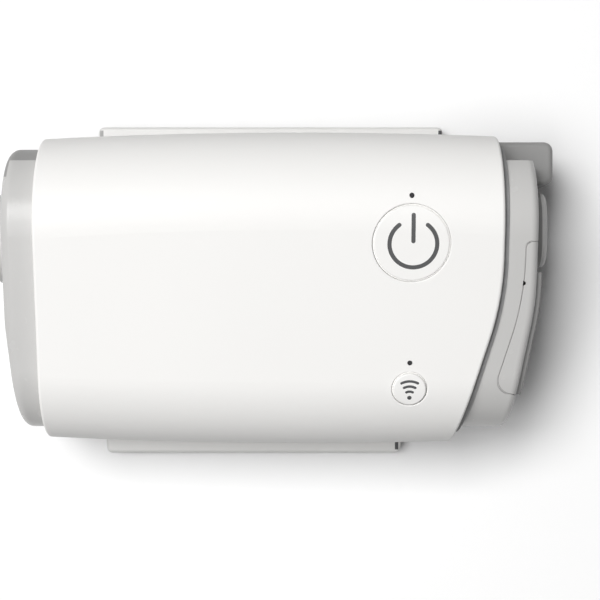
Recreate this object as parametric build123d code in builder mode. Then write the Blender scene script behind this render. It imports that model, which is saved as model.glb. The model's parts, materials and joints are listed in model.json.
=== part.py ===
from build123d import *

import os
from dataclasses import dataclass, replace
from math import atan2, cos, hypot, radians, sin, sqrt, tan

os.makedirs("parts", exist_ok=True)

# A travel CPAP machine. Frame: X along the body (air outlet at -X, power inlet at +X),
# Y to the rear, Z up, origin at the middle of the footprint. Sizes are in mm.

# ---------------------------------------------------------------- driving sizes
overall_length = 136.0
overall_width = 84.0
overall_height = 52.0

# body section, four arcs joined by their hull
mid_half_width = 37.6
end_half_width = 36.0
barrel_mid_x = 6.0
shoulder_r = 20.0
face_drop = 7.6
bottom_r = 12.0
bottom_tuck = 1.0

# sleeve
sleeve_wall = 2.0
mouth_edge_r = 0.7
sleeve_bend_y = 7.2
sleeve_bend_r = 65.0
sleeve_sweep = 16.8
hole_edge_r = 0.25

# light grey end caps
core_gap = 0.5
cap_wall = 2.0
outlet_edge_r = 2.4
inlet_edge_r = 1.8
outlet_cap_reach = 7.9
outlet_spigot = 9.0
outlet_sweep = 5.0
outlet_bend_y = -6.0
inlet_cap_reach = 8.1
inlet_spigot = 6.0
inlet_sweep = 10.0
inlet_bend_y = 2.0
inlet_bend_r = 60.0

# gasket in the gap between sleeve and inlet cap
gasket_gap = 1.1
gasket_cover = 1.6
gasket_depth = 0.9
gasket_fit = 0.1

# dark rear frame with its corner guard
frame_thickness = 3.4
frame_low_z = 8.0
frame_lip = 1.1
frame_lip_front_y = 26.0
guard_reach = 6.95
guard_half_width = 36.1
guard_hook_y = 25.5
guard_low_z = 12.0
guard_top_z = 26.0
guard_corner_r = 2.2
guard_edge_r = 1.2
guard_gap = 0.3
rim_match = 0.01

# power inlet boss
inlet_plate = 1.3
boss_y = 14.5
boss_z = 25.0
boss_width = 18.0
boss_height = 14.0
boss_corner_r = 6.5
boss_reach = 3.35
boss_ring = 1.3
boss_edge_r = 0.9
socket_length = 10.4
socket_height = 5.8
socket_depth = 6.4
socket_wall = 0.8
socket_set_back = 0.4
socket_clearance = 0.1
contact_r = 0.45
contact_pitch = 2.6
contact_count = 3
contact_reach = 1.6

# air outlet
outlet_y = 12.6
outlet_z = 22.0
port_r = 11.0
port_bore_r = 8.5
port_neck_r = 11.4
port_flange_r = 12.9
port_flange = 1.6
port_lip_r = 1.0
collar_reach = 5.0
seal_thickness = 1.2
duct_wall = 1.2

# filter door on the inlet cap
door_wrap = 5.2
door_rear_y = 10.8
door_step_y = 3.8
door_front_y = -24.9
door_step_z = 34.2
door_gap = 0.25
door_corner_r = 1.6
door_front_corner_r = 3.4
notch_r = 0.45
notch_y = 1.3
hinge_rise = 3.0
hinge_inset = 2.2
hinge_y = -12.5
hinge_barrel_length = 14.0
hinge_pin_r = 0.8
hinge_fit = 0.05
hinge_lug = 2.2
hinge_end_gap = 0.3
grille_proud = 1.4
grille_low_z = 15.0
grille_inset = 3.0
grille_end = 3.0
grille_depth = 1.0
grille_slots = 8
grille_bar = 1.3
grille_edge_r = 0.4
hinge_swing = 2.5
hinge_boss_r = 1.9

# filter behind the door
filter_thickness = 4.0
filter_width = 21.0
filter_height = 20.0
filter_rise = 5.0
filter_set_back = 1.0
filter_clearance = 0.3
tray_wall = 1.4
tray_bars = 4
tray_bar = 1.0

# controls
power_inset = 21.35
power_y = 10.3
power_hole_r = 9.0
pairing_y = -23.4
pairing_hole_r = 4.15
pairing_proud = 0.45
button_travel = 0.6
travel_spare = 0.4
button_clearance = 0.3
button_flange = 0.9
button_flange_depth = 3.9
button_stem_r = 1.6
button_edge_r = 0.3
button_sink = 0.1
flange_gap = 0.2
power_light_y = 20.9
pairing_light_y = -17.2
light_r = 0.55
light_clearance = 0.05
light_foot_r = 1.2
light_foot = 0.8

# control board, measured down from the control face
board_depth = 7.2
board_thickness = 1.2
board_length = 72.0
board_left_x = -34.0
board_rear_margin = 10.5
board_front_margin = 3.7
board_corner_r = 2.0
standoff = 1.0
standoff_r = 2.2
standoff_inset = 4.0
board_screw_right_x = 20.0
board_screw_grip = 0.8
switch_size = 5.0
switch_height = 1.9
plunger_r = 1.0
plunger_clearance = 0.3
plunger_reach = 0.7
switch_floor = 0.3
module_length = 15.0
module_width = 11.0
module_height = 1.8
module_x = -16.0
module_y = -14.0

# parts on the board: x, distance up the board, length, width, height
board_layout = (
    (-4.0, 4.0, 10.0, 6.0, 3.0),
    (4.0, -16.0, 8.0, 8.0, 1.2),
    (-26.0, 2.0, 6.0, 5.0, 1.6),
    (12.0, -30.0, 4.0, 4.0, 1.4),
)

# air box
split_z = 26.0
lid_wall = 1.6
rail_width = 3.0
rail_y = 16.0
rail_seat = 0.02
screw_r = 1.0
screw_head_r = 1.9
screw_head = 1.2
screw_depth = 6.0
post_r = 2.6
post_left_x = -40.5
post_right_x = 27.0
post_rear_y = 25.0
post_front_y = -27.0
tab_thickness = 1.6
tab_r = 3.0

# blower
blower_x = -16.0
blower_y = -3.6
scroll_r = 21.5
scroll_growth = 1.1
scroll_wall = 1.4
scroll_low_z = 15.4
scroll_high_z = 29.2
eye_r = 8.5
cup_r = 12.6
cup_wall = 1.2
cup_low_z = 8.3
mount_r = 2.6
mount_pin_r = 1.5
mount_cap = 1.0
mount_gap = 0.4
mount_angles = (40.0, 205.0, 315.0)
lug_thickness = 2.0
lug_r = 4.2
tube_start = 8.0

# motor
shaft_r = 1.25
shaft_fit = 0.05
bearing_r = 4.0
bearing_width = 2.0
rotor_r = 6.0
stator_r = 11.0
stator_bore_gap = 0.5
motor_gap = 0.4

# impeller
impeller_r = 17.5
impeller_plate = 1.0
hub_r = 4.0
blade_height = 6.0
blade_thickness = 0.8
blade_count = 11
blade_lean = 38.0
impeller_gap = 0.8

# foam and flow sensor
foam_left_x = 12.2
foam_length = 19.0
foam_width = 34.0
foam_height = 14.0
foam_corner_r = 3.0
sensor_length = 9.0
sensor_width = 7.0
sensor_height = 3.0
sensor_x = -35.0
sensor_saddle = 0.8
lead_width = 5.0
lead_thickness = 0.4
lead_clearance = 0.4
lead_z = 10.5
lead_x = 11.3

# cradle under the body
foot_stand = 0.8
base_thickness = 2.2
cradle_rear_left_x = -45.9
cradle_rear_right_x = 43.1
cradle_front_left_x = -43.7
cradle_front_right_x = 31.9
cradle_corner_r = 1.5
cradle_rim_height = 2.6
cradle_rim_edge_r = 0.9
cradle_clearance = 0.15
foot_r = 4.5
foot_pocket = 0.6
foot_left_x = -36.0
foot_right_x = 24.0
foot_y = 30.5
stop_length = 0.9
stop_width = 3.4
base_screw_left_x = -30.0
base_screw_right_x = 22.0
base_screw_y = 21.0
base_boss_height = 4.0
screw_clearance = 0.1
driver_r = 0.6
driver_depth = 0.6

# ---------------------------------------------------------------- places worked out
left_end_x = -overall_length / 2
right_end_x = overall_length / 2
underside_z = foot_stand + base_thickness
outlet_face_x = left_end_x + collar_reach
sleeve_left_x = outlet_face_x + outlet_cap_reach
inlet_face_x = right_end_x - guard_reach
sleeve_right_x = inlet_face_x - inlet_cap_reach
barrel_reach = barrel_mid_x - sleeve_left_x
power_x = sleeve_right_x - power_inset
core_inset = sleeve_wall + core_gap
cavity_inset = core_inset + cap_wall
core_half_width = end_half_width - core_inset
core_floor_z = underside_z + core_inset
floor_z = core_floor_z + cap_wall
spine_y = core_half_width - frame_thickness
plan_reach = overall_length


# ---------------------------------------------------------------- shared forms
@dataclass
class SweptEdge:
    """An end edge in plan: square to the body at the rear, swept back at the front."""

    x: float
    bend_y: float
    bend_r: float
    sweep: float

    def moved(self, distance):
        return replace(self, x=self.x + distance)

    def x_at(self, y):
        """X of the edge at a given Y."""
        side = 1 if self.x > 0 else -1
        fall = self.bend_y - y
        arc_fall = self.bend_r * sin(radians(self.sweep))
        if fall <= 0:
            return self.x
        if fall <= arc_fall:
            return self.x - side * (self.bend_r - sqrt(self.bend_r**2 - fall**2))
        arc_shift = self.bend_r * (1 - cos(radians(self.sweep)))
        return self.x - side * (arc_shift + (fall - arc_fall) * tan(radians(self.sweep)))


sleeve_edge = SweptEdge(sleeve_right_x, sleeve_bend_y, sleeve_bend_r, sleeve_sweep)
inlet_edge = SweptEdge(inlet_face_x, inlet_bend_y, inlet_bend_r, inlet_sweep)
outlet_edge = SweptEdge(outlet_face_x, outlet_bend_y, inlet_bend_r, outlet_sweep)
spigot_edge = sleeve_edge.moved(-inlet_spigot)
door_seam = sleeve_edge.moved(door_wrap)
outlet_inner_x = sleeve_left_x + outlet_spigot


def half_width_at(x):
    """The sleeve is a barrel in plan, widest a little right of the middle."""
    share = (x - barrel_mid_x) / barrel_reach
    return mid_half_width - (mid_half_width - end_half_width) * share**2


def section_at(x, half_width, inset):
    """Body section in the YZ plane at x, drawn inside the true one by inset."""
    shoulder_z = overall_height - shoulder_r
    shoulder_y = half_width - shoulder_r
    bottom_y = half_width - bottom_tuck - bottom_r
    bottom_z = underside_z + bottom_r
    with BuildSketch(Plane.YZ.offset(x)) as section:
        with Locations((shoulder_y, shoulder_z), (-shoulder_y, shoulder_z - face_drop)):
            Circle(shoulder_r - inset)
        with Locations((bottom_y, bottom_z), (-bottom_y, bottom_z)):
            Circle(bottom_r - inset)
        make_hull()
    return section.sketch


def barrel_form(inset):
    """The sleeve's barrel, longer than the sleeve at both ends."""
    station = barrel_reach + outlet_cap_reach
    with BuildPart() as form:
        for x in (barrel_mid_x - station, barrel_mid_x, barrel_mid_x + station):
            add(section_at(x, half_width_at(x), inset))
        loft()
    return form.part


def core_form(inset):
    """Straight prism of the body section that the inner pieces share."""
    with BuildPart() as form:
        add(section_at(left_end_x, end_half_width, inset))
        extrude(amount=overall_length, dir=(1, 0, 0))
    return form.part


def plan_inside(edge, rear_y, front_y):
    """Plan region from the middle of the body out to a swept end edge."""
    side = 1 if edge.x > 0 else -1
    with BuildSketch() as region:
        with BuildLine():
            rear = Line((edge.x, rear_y), (edge.x, edge.bend_y))
            bend = JernArc(rear @ 1, rear % 1, edge.bend_r, -side * edge.sweep)
            front = Line(bend @ 1, (edge.x_at(front_y), front_y))
            Polyline(front @ 1, (0, front_y), (0, rear_y), rear @ 0)
        make_face()
    return region.sketch


barrel_outer = barrel_form(0)
barrel_inner = barrel_form(sleeve_wall)
core_outer = core_form(core_inset)
core_cavity = core_form(cavity_inset)

# control face: the flat between the two shoulder arcs, at the buttons' station
control_span = 2 * (half_width_at(power_x) - shoulder_r)
control_tilt = atan2(face_drop, control_span)
control_rise = shoulder_r / cos(control_tilt)
control_z = (
    overall_height
    - shoulder_r
    - (control_span / 2 - power_y) * tan(control_tilt)
    + control_rise
)
control_plane = Plane(
    origin=(power_x, power_y, control_z),
    x_dir=(1, 0, 0),
    z_dir=(0, -sin(control_tilt), cos(control_tilt)),
)


def on_control(x, y):
    """Control face coordinates of a point given by its X and Y."""
    return (x - power_x, (y - power_y) / cos(control_tilt))


# ---------------------------------------------------------------- outer sleeve
power_spot = on_control(power_x, power_y)
pairing_spot = on_control(power_x, pairing_y)
power_light_spot = on_control(power_x, power_light_y)
pairing_light_spot = on_control(power_x, pairing_light_y)
hole_reach = shoulder_r / 2
base_screw_spots = [
    (x, y)
    for x in (base_screw_left_x, base_screw_right_x)
    for y in (-base_screw_y, base_screw_y)
]


def on_hole_rim(edge):
    """True for the outer rim of a button's hole."""
    spot = control_plane.to_local_coords(edge.position_at(0.5))
    misses = [
        abs(hypot(spot.X - x, spot.Y - y) - hole_r)
        for (x, y), hole_r in ((power_spot, power_hole_r), (pairing_spot, pairing_hole_r))
    ]
    return edge.geom_type != GeomType.LINE and min(misses) < rim_match and spot.Z > -sleeve_wall / 2


with BuildPart() as outer_sleeve:
    add(barrel_outer)
    add(barrel_inner, mode=Mode.SUBTRACT)
    with BuildSketch(Plane.XY) as sleeve_plan:
        add(plan_inside(sleeve_edge, plan_reach, -plan_reach))
        with Locations((sleeve_left_x / 2, 0)):
            Rectangle(-sleeve_left_x, 2 * plan_reach)
    extrude(amount=2 * overall_height, mode=Mode.INTERSECT)
    left_mouth = outer_sleeve.faces().sort_by(Axis.X)[0]
    fillet(left_mouth.edges(), mouth_edge_r)
    right_mouth = outer_sleeve.edges().filter_by(
        lambda edge: all(
            abs(sleeve_edge.x_at(edge.position_at(t).Y) - edge.position_at(t).X) < 0.02
            for t in (0.2, 0.5, 0.8)
        )
        and edge.length > 1.5 * sleeve_wall
    )
    fillet(right_mouth, mouth_edge_r)
    with BuildSketch(control_plane.offset(-hole_reach)):
        with Locations(power_spot):
            Circle(power_hole_r)
        with Locations(pairing_spot):
            Circle(pairing_hole_r)
        with Locations(power_light_spot, pairing_light_spot):
            Circle(light_r + light_clearance)
    extrude(amount=2 * hole_reach, mode=Mode.SUBTRACT)
    fillet(outer_sleeve.edges().filter_by(on_hole_rim), hole_edge_r)
    with BuildSketch(Plane.XY):
        with Locations(*base_screw_spots):
            Circle(screw_r + screw_clearance)
    extrude(amount=underside_z + 2 * sleeve_wall, mode=Mode.SUBTRACT)
outer_sleeve.part.label = "outer_sleeve"
export_step(outer_sleeve.part, "parts/outer_sleeve.step")

# ---------------------------------------------------------------- end forms and cavities
def rim_edges(form):
    """Edges all round the end face of a cap form, without those that cross the face."""

    def on_rim(edge):
        along = edge.tangent_at(0.5)
        at_end = abs(edge.position_at(0.5).X) > cap_wall
        return at_end and abs(along.X) < 0.999 and abs(along.Z) < 0.9999

    return form.edges().filter_by(on_rim)


with BuildPart() as outlet_form:
    add(core_outer)
    add(plan_inside(outlet_edge, end_half_width, -end_half_width))
    extrude(amount=2 * overall_height, mode=Mode.INTERSECT)
    fillet(rim_edges(outlet_form), outlet_edge_r)

with BuildPart() as inlet_form:
    add(core_outer)
    add(plan_inside(inlet_edge, spine_y, -end_half_width))
    extrude(amount=2 * overall_height, mode=Mode.INTERSECT)
    fillet(rim_edges(inlet_form), inlet_edge_r)

with BuildPart() as outlet_cavity:
    add(core_cavity)
    add(plan_inside(outlet_edge.moved(cap_wall), spine_y - cap_wall, -core_half_width))
    extrude(amount=2 * overall_height, mode=Mode.INTERSECT)

with BuildPart() as inlet_cavity:
    add(core_cavity)
    add(plan_inside(inlet_edge.moved(-cap_wall), spine_y - cap_wall, -core_half_width))
    extrude(amount=2 * overall_height, mode=Mode.INTERSECT)

full_height = 2 * overall_height


def finish(piece, name):
    """Label one piece and write it."""
    piece.part.label = name
    export_step(piece.part, f"parts/{name}.step")


def band(near_edge, far_edge):
    """Upright slab between two swept edges, right through the body."""
    with BuildPart() as slab:
        add(plan_inside(far_edge, plan_reach, -plan_reach))
        extrude(amount=full_height)
        add(plan_inside(near_edge, plan_reach, -plan_reach))
        extrude(amount=full_height, mode=Mode.SUBTRACT)
    return slab.part


def body_side(y_low, y_high):
    """Block that keeps the body between two Y planes."""
    block = Box(2 * overall_length, y_high - y_low, full_height, mode=Mode.PRIVATE)
    return Pos(0, (y_low + y_high) / 2, overall_height / 2) * block


before_spine = body_side(-overall_width, spine_y)
behind_spine = body_side(spine_y, overall_width)

# ---------------------------------------------------------------- inlet gasket
with BuildPart() as inlet_gasket:
    add(barrel_form(sleeve_wall + gasket_fit))
    add(core_form(core_inset + gasket_depth), mode=Mode.SUBTRACT)
    add(
        band(sleeve_edge.moved(-gasket_cover), sleeve_edge.moved(gasket_gap)),
        mode=Mode.INTERSECT,
    )
finish(inlet_gasket, "inlet_gasket")

# ---------------------------------------------------------------- outlet end cap
with BuildPart() as corner_lip:
    add(outlet_form.part)
    add(plan_inside(outlet_edge.moved(frame_lip), plan_reach, -plan_reach))
    extrude(amount=full_height, mode=Mode.SUBTRACT)
    add(body_side(frame_lip_front_y, spine_y), mode=Mode.INTERSECT)
    with BuildSketch(Plane.XY):
        Rectangle(2 * overall_length, 2 * overall_width)
    extrude(amount=frame_low_z, mode=Mode.SUBTRACT)

with BuildPart() as outlet_end_cap:
    add(outlet_form.part)
    add(outlet_cavity.part, mode=Mode.SUBTRACT)
    add(before_spine, mode=Mode.INTERSECT)
    with BuildSketch(Plane.YZ.offset(outlet_inner_x)):
        Rectangle(2 * full_height, 2 * full_height)
    extrude(amount=overall_length, dir=(1, 0, 0), mode=Mode.SUBTRACT)
    with BuildSketch(Plane.YZ.offset(left_end_x)):
        with Locations((outlet_y, outlet_z)):
            Circle(port_neck_r)
    extrude(amount=collar_reach + 2 * cap_wall, dir=(1, 0, 0), mode=Mode.SUBTRACT)
    add(corner_lip.part, mode=Mode.SUBTRACT)
finish(outlet_end_cap, "outlet_end_cap")

# ---------------------------------------------------------------- air outlet
port_axis = Axis((0, outlet_y, outlet_z), (1, 0, 0))
flange_x = outlet_face_x + cap_wall
seal_x = flange_x + port_flange
bell_x = seal_x + seal_thickness
port_inner_x = bell_x + 2 * seal_thickness
tube_r = port_bore_r + duct_wall
tube_mouth_x = blower_x - scroll_r - scroll_wall

with BuildPart() as outlet_port:
    with BuildSketch(Plane.XY.offset(outlet_z)):
        with BuildLine():
            Polyline(
                (left_end_x, outlet_y + port_bore_r),
                (left_end_x, outlet_y + port_r),
                (outlet_face_x, outlet_y + port_r),
                (outlet_face_x, outlet_y + port_neck_r),
                (flange_x, outlet_y + port_neck_r),
                (flange_x, outlet_y + port_flange_r),
                (seal_x, outlet_y + port_flange_r),
                (seal_x, outlet_y + port_neck_r),
                (port_inner_x, outlet_y + port_neck_r),
                (port_inner_x, outlet_y + port_bore_r),
                close=True,
            )
        make_face()
    revolve(axis=port_axis)
    lip = outlet_port.faces().sort_by(Axis.X)[0].edges()
    fillet(lip.sort_by(SortBy.RADIUS)[-1], port_lip_r)
    fillet(outlet_port.faces().sort_by(Axis.X)[0].edges().sort_by(SortBy.RADIUS)[0], port_lip_r / 2)
finish(outlet_port, "outlet_port")

with BuildPart() as outlet_seal:
    with BuildSketch(Plane.YZ.offset(seal_x)):
        with Locations((outlet_y, outlet_z)):
            Circle(port_flange_r)
            Circle(port_neck_r, mode=Mode.SUBTRACT)
    extrude(amount=seal_thickness, dir=(1, 0, 0))
finish(outlet_seal, "outlet_seal")

with BuildPart() as outlet_duct:
    with BuildSketch(Plane.XY.offset(outlet_z)):
        with BuildLine():
            Polyline(
                (bell_x, outlet_y + port_neck_r),
                (bell_x, outlet_y + port_flange_r),
                (port_inner_x + duct_wall, outlet_y + port_flange_r),
                (port_inner_x + duct_wall, outlet_y + tube_r),
                (tube_mouth_x, outlet_y + tube_r),
                (tube_mouth_x, outlet_y + port_bore_r),
                (port_inner_x, outlet_y + port_bore_r),
                (port_inner_x, outlet_y + port_neck_r),
                close=True,
            )
        make_face()
    revolve(axis=port_axis)
finish(outlet_duct, "outlet_duct")

# ---------------------------------------------------------------- filter door and its hinge
hinge_z = floor_z + hinge_rise
sweep_angle = radians(inlet_sweep)
hinge_out = Vector(cos(sweep_angle), -sin(sweep_angle), 0)
hinge_along = Vector(sin(sweep_angle), cos(sweep_angle), 0)
hinge_point = Vector(inlet_edge.x_at(hinge_y), hinge_y, hinge_z) - hinge_inset * hinge_out
hinge_plane = Plane(origin=hinge_point, x_dir=hinge_along, z_dir=hinge_out)
hinge_end_plane = Plane(origin=hinge_point, x_dir=hinge_out, z_dir=hinge_along)
door_bottom_z = hinge_z + hinge_swing
door_far_x = inlet_face_x + cap_wall
door_slant = tan(sweep_angle)
door_front_x = inlet_edge.x_at(door_front_y)


def door_zone(clearance, low_z):
    """The filter door's share of the inlet cap, grown by a clearance."""
    rear_y = door_rear_y + clearance
    front_y = door_front_y - clearance
    seam = door_seam.moved(-clearance)
    near_x = seam.x_at(front_y) - cap_wall
    front_x = inlet_edge.x_at(front_y)
    with BuildPart() as zone:
        with BuildSketch(Plane.XY.offset(low_z)) as zone_plan:
            with BuildLine():
                Polyline(
                    (near_x, rear_y),
                    (door_far_x, rear_y),
                    (door_far_x, front_y - door_slant * (door_far_x - front_x)),
                    (near_x, front_y + door_slant * (front_x - near_x)),
                    close=True,
                )
            make_face()
            add(plan_inside(seam, plan_reach, -plan_reach), mode=Mode.SUBTRACT)
            fillet(zone_plan.vertices().sort_by(Axis.X)[0], door_front_corner_r)
            rear_corners = zone_plan.vertices().group_by(Axis.Y)[-1]
            fillet(rear_corners.sort_by(Axis.X)[0], door_corner_r)
        extrude(amount=overall_height - low_z + clearance)
        with BuildSketch(Plane.YZ.offset(seam.x_at(front_y) - cap_wall)):
            with BuildLine():
                Polyline(
                    (door_step_y + clearance, low_z),
                    (door_step_y + clearance, door_step_z - clearance),
                    (door_rear_y + cap_wall, door_step_z - clearance),
                    (door_rear_y + cap_wall, low_z),
                    close=True,
                )
            make_face()
        extrude(amount=inlet_cap_reach + full_height, dir=(1, 0, 0), mode=Mode.SUBTRACT)
    return zone.part


grille_form = core_form(core_inset + grille_inset)

with BuildPart() as grille_blank:
    add(grille_form)
    add(band(inlet_edge.moved(-grille_depth), inlet_edge.moved(grille_proud)), mode=Mode.INTERSECT)
    with BuildSketch(Plane.XY.offset(grille_low_z)):
        with BuildLine():
            Polyline(
                (door_far_x, door_front_y - door_slant * (door_far_x - door_front_x)),
                (door_far_x, door_step_y),
                (0, door_step_y),
                (0, door_front_y + door_slant * door_front_x),
                close=True,
            )
        make_face()
    extrude(amount=overall_height, mode=Mode.INTERSECT)
    grille_front = grille_blank.edges().filter_by(
        lambda edge: all(
            abs(inlet_edge.x_at(edge.position_at(t).Y) + grille_proud - edge.position_at(t).X) < 0.02
            for t in (0.1, 0.5, 0.9)
        )
        and abs(edge.tangent_at(0.5).Z) < 0.9999
    )
    fillet(grille_front, grille_edge_r)

slot_mid_y = (door_front_y + door_step_y) / 2
slot_mid_u = (slot_mid_y - hinge_y) / cos(sweep_angle)
slot_length = door_step_y - door_front_y - 2 * grille_end
slot_low_z = grille_low_z + grille_bar
slot_top_z = (
    overall_height
    - shoulder_r
    - face_drop
    + sqrt(
        (shoulder_r - core_inset - grille_inset - grille_bar) ** 2
        - (-door_front_y - grille_end - end_half_width + shoulder_r) ** 2
    )
)
slot_pitch = (slot_top_z - slot_low_z) / grille_slots

with BuildPart() as grille_openings:
    with BuildSketch(hinge_plane.offset(-2 * cap_wall)):
        with Locations((slot_mid_u, (slot_low_z + slot_top_z) / 2 - hinge_z)):
            with GridLocations(slot_length, slot_pitch, 1, grille_slots):
                SlotOverall(slot_length, slot_pitch - grille_bar)
    extrude(amount=4 * cap_wall + grille_proud)

with BuildPart() as inlet_grille:
    add(grille_blank.part)
    add(grille_openings.part, mode=Mode.SUBTRACT)
finish(inlet_grille, "inlet_grille")

with BuildPart() as filter_cover:
    add(inlet_form.part)
    add(door_zone(0, door_bottom_z), mode=Mode.INTERSECT)
    add(inlet_cavity.part, mode=Mode.SUBTRACT)
    with BuildSketch(hinge_end_plane.offset(-hinge_barrel_length / 2)):
        Circle(hinge_inset)
        with Locations((hinge_inset - cap_wall / 2, -hinge_swing / 2 - cap_wall / 4)):
            Rectangle(cap_wall, hinge_swing + cap_wall / 2)
    extrude(amount=hinge_barrel_length)
    with BuildSketch(hinge_end_plane.offset(-hinge_barrel_length)):
        Circle(hinge_pin_r + hinge_fit)
    extrude(amount=2 * hinge_barrel_length, mode=Mode.SUBTRACT)
    add(grille_blank.part, mode=Mode.SUBTRACT)
    add(grille_openings.part, mode=Mode.SUBTRACT)
    with Locations((door_seam.x_at(notch_y), notch_y, overall_height)):
        Cylinder(notch_r, shoulder_r, mode=Mode.SUBTRACT)
finish(filter_cover, "filter_cover")

pin_length = hinge_barrel_length + 2 * (hinge_end_gap + hinge_lug)
with BuildPart() as filter_hinge_pin:
    with BuildSketch(hinge_end_plane.offset(-pin_length / 2)):
        Circle(hinge_pin_r)
    extrude(amount=pin_length)
finish(filter_hinge_pin, "filter_hinge_pin")

# ---------------------------------------------------------------- inlet end cap
socket_outer_length = socket_length + 2 * socket_wall
socket_outer_height = socket_height + 2 * socket_wall
plate_x = inlet_face_x + inlet_plate
boss_x = plate_x + boss_reach
ring_x = boss_x - boss_ring
socket_back_x = boss_x - socket_wall - socket_depth
recess_floor_z = hinge_z - hinge_swing


def socket_slot(x, depth, clearance):
    """Slot-shaped prism round the socket, from x along the body."""
    with BuildPart() as slot:
        with BuildSketch(Plane.YZ.offset(x)):
            with Locations((boss_y, boss_z)):
                SlotOverall(socket_outer_length + 2 * clearance, socket_outer_height + 2 * clearance)
        extrude(amount=depth, dir=(1, 0, 0))
    return slot.part


socket_passage = socket_slot(socket_back_x - cap_wall, full_height, socket_clearance)

with BuildPart() as inlet_end_cap:
    add(inlet_form.part)
    add(inlet_cavity.part, mode=Mode.SUBTRACT)
    add(plan_inside(spigot_edge, plan_reach, -plan_reach))
    extrude(amount=full_height, mode=Mode.SUBTRACT)
    add(door_zone(door_gap, recess_floor_z), mode=Mode.SUBTRACT)
    add(inlet_gasket.part, mode=Mode.SUBTRACT)
    add(socket_passage, mode=Mode.SUBTRACT)
finish(inlet_end_cap, "inlet_end_cap")

# ---------------------------------------------------------------- rear frame with corner guard
plate_front_y = door_step_y + door_gap
plate_top_z = door_step_z - 3 * door_gap
guard_start_x = sleeve_right_x + guard_gap
deck_start_x = sleeve_right_x + gasket_gap

with BuildPart() as rear_frame:
    add(core_outer)
    with BuildSketch(Plane.XY):
        with Locations((plate_x / 2, 0)):
            Rectangle(plate_x, plan_reach)
    extrude(amount=full_height, mode=Mode.INTERSECT)
    add(outlet_form.part)
    add(behind_spine, mode=Mode.INTERSECT)
    with BuildSketch(Plane.XY):
        Rectangle(2 * overall_length, 2 * overall_width)
    extrude(amount=frame_low_z, mode=Mode.SUBTRACT)
    with BuildSketch(Plane.XY.offset(guard_top_z)):
        with Locations((deck_start_x + overall_length, 0)):
            Rectangle(2 * overall_length, 2 * overall_width)
    extrude(amount=full_height, mode=Mode.SUBTRACT)
    add(corner_lip.part)
    with BuildSketch(Plane.YZ.offset(inlet_face_x)):
        with BuildLine():
            Polyline(
                (plate_front_y, guard_low_z),
                (plate_front_y, plate_top_z),
                (spine_y, plate_top_z),
                (spine_y, guard_low_z),
                close=True,
            )
        make_face()
    extrude(amount=inlet_plate, dir=(1, 0, 0))
    with BuildSketch(Plane.YZ.offset(plate_x)):
        with Locations((boss_y, boss_z)):
            RectangleRounded(boss_width, boss_height, boss_corner_r)
    extrude(amount=boss_reach - boss_ring, dir=(1, 0, 0))
    with BuildSketch(Plane.XY.offset(guard_low_z)) as guard_plan:
        with BuildLine():
            Polyline(
                (guard_start_x, spine_y),
                (guard_start_x, guard_half_width),
                (right_end_x, guard_half_width),
                (right_end_x, guard_hook_y),
                (inlet_face_x, guard_hook_y),
                (inlet_face_x, spine_y),
                close=True,
            )
        make_face()
        fillet(guard_plan.vertices().sort_by(Axis.X)[-2:], guard_corner_r)
    extrude(amount=guard_top_z - guard_low_z)
    guard_rim = rear_frame.edges().filter_by(
        lambda edge: all(abs(edge.position_at(t).Z - guard_top_z) < rim_match for t in (0.2, 0.5))
        and (edge.position_at(0.5).Y > core_half_width or edge.position_at(0.5).X > boss_x)
    )
    fillet(guard_rim, guard_edge_r)
    add(inlet_gasket.part, mode=Mode.SUBTRACT)
    add(socket_passage, mode=Mode.SUBTRACT)
finish(rear_frame, "rear_frame")

# ---------------------------------------------------------------- power inlet
with BuildPart() as power_inlet_ring:
    with BuildSketch(Plane.YZ.offset(ring_x)):
        with Locations((boss_y, boss_z)):
            RectangleRounded(boss_width, boss_height, boss_corner_r)
    extrude(amount=boss_ring, dir=(1, 0, 0))
    fillet(power_inlet_ring.faces().sort_by(Axis.X)[-1].edges(), boss_edge_r)
    add(socket_passage, mode=Mode.SUBTRACT)
finish(power_inlet_ring, "power_inlet_ring")

contact_back_x = socket_back_x - socket_wall
contact_length = contact_reach + 2 * socket_wall
with BuildPart() as power_contacts:
    with BuildSketch(Plane.YZ.offset(contact_back_x)):
        with Locations((boss_y, boss_z)):
            with GridLocations(contact_pitch, contact_pitch, contact_count, 1):
                Circle(contact_r)
    extrude(amount=contact_length, dir=(1, 0, 0))
finish(power_contacts, "power_contacts")

with BuildPart() as power_socket:
    add(socket_slot(socket_back_x, socket_wall + socket_depth - socket_set_back, 0))
    add(
        socket_slot(socket_back_x + socket_wall, full_height, -socket_wall),
        mode=Mode.SUBTRACT,
    )
    add(power_contacts.part, mode=Mode.SUBTRACT)
finish(power_socket, "power_socket")

# ---------------------------------------------------------------- lower chassis
post_spots = [
    (x, y) for x in (post_left_x, post_right_x) for y in (post_front_y, post_rear_y)
]
base_screw_top_z = floor_z + base_boss_height - cap_wall / 2
screw_top_z = split_z + tab_thickness

with BuildPart() as chassis_zone:
    with BuildSketch(Plane.XY):
        with BuildLine():
            Polyline(
                (outlet_inner_x, plan_reach),
                (0, plan_reach),
                (0, -plan_reach),
                (outlet_inner_x, -plan_reach),
                close=True,
            )
        make_face()
        add(plan_inside(spigot_edge, plan_reach, -plan_reach))
    extrude(amount=full_height)
    add(before_spine, mode=Mode.INTERSECT)

with BuildPart() as air_box_cavity:
    add(core_cavity)
    add(body_side(-overall_width, spine_y - cap_wall), mode=Mode.INTERSECT)

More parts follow.
